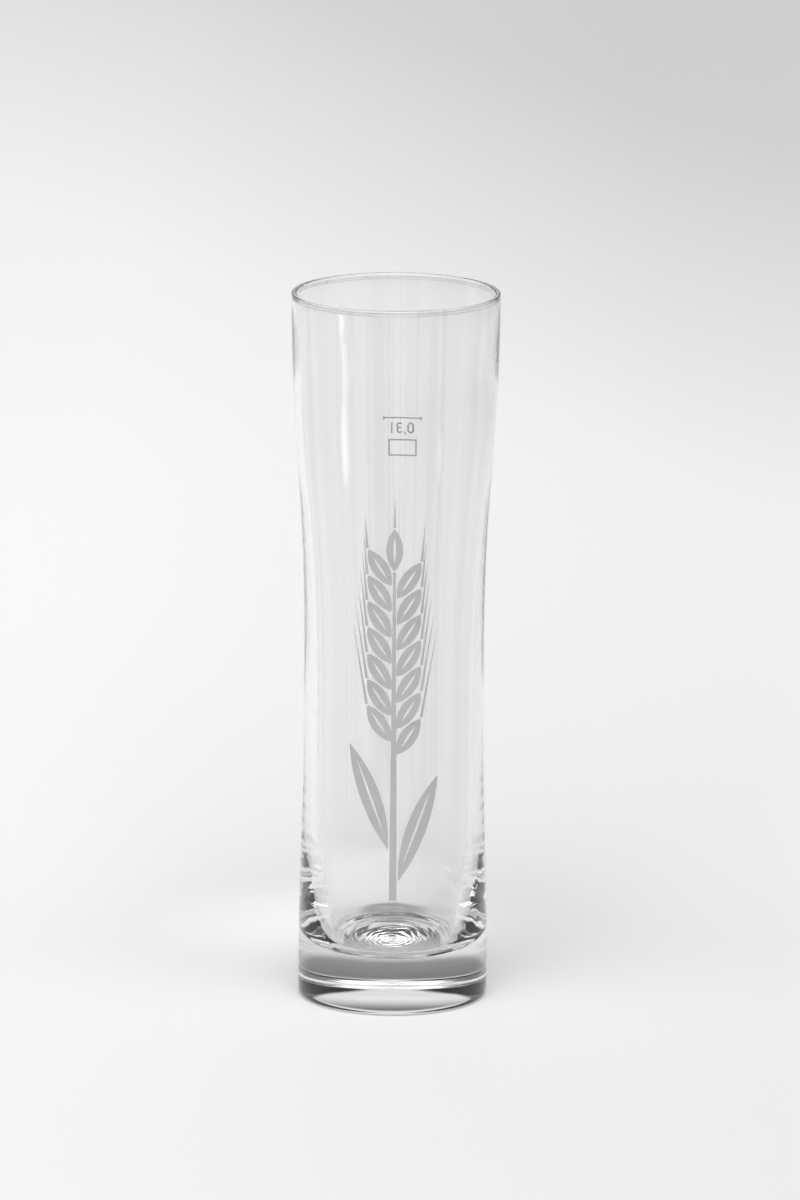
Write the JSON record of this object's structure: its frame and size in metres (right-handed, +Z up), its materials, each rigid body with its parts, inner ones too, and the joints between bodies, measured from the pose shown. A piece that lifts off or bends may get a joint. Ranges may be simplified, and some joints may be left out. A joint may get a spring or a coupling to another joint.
{
  "type": "tall beer glass",
  "caption": "Tall slim clear beer glass with a drawn-in waist, flared rim and thick solid foot, carrying grey enamel prints: a barley ear at the front and a fill line with figures at the back",
  "frame": {"origin": "middle of the standing face, on the table", "axes": "+Z up along the axis of the glass, -Y towards the front with the barley ear, +X to the right of someone who looks at the front"},
  "size_m": [0.0642, 0.0642, 0.2225],
  "materials": {
    "glass": "clear fire-polished soda-lime glass",
    "enamel": "satin grey fired enamel"
  },
  "bodies": {
    "root": {"glass_body": "glass", "barley_stalk_print": "enamel", "barley_leaves_print": "enamel", "barley_kernels_print": "enamel", "barley_awns_print": "enamel", "fill_line_print": "enamel", "capacity_figures_print": "enamel", "mark_frame_print": "enamel"}
  },
  "joints": []
}
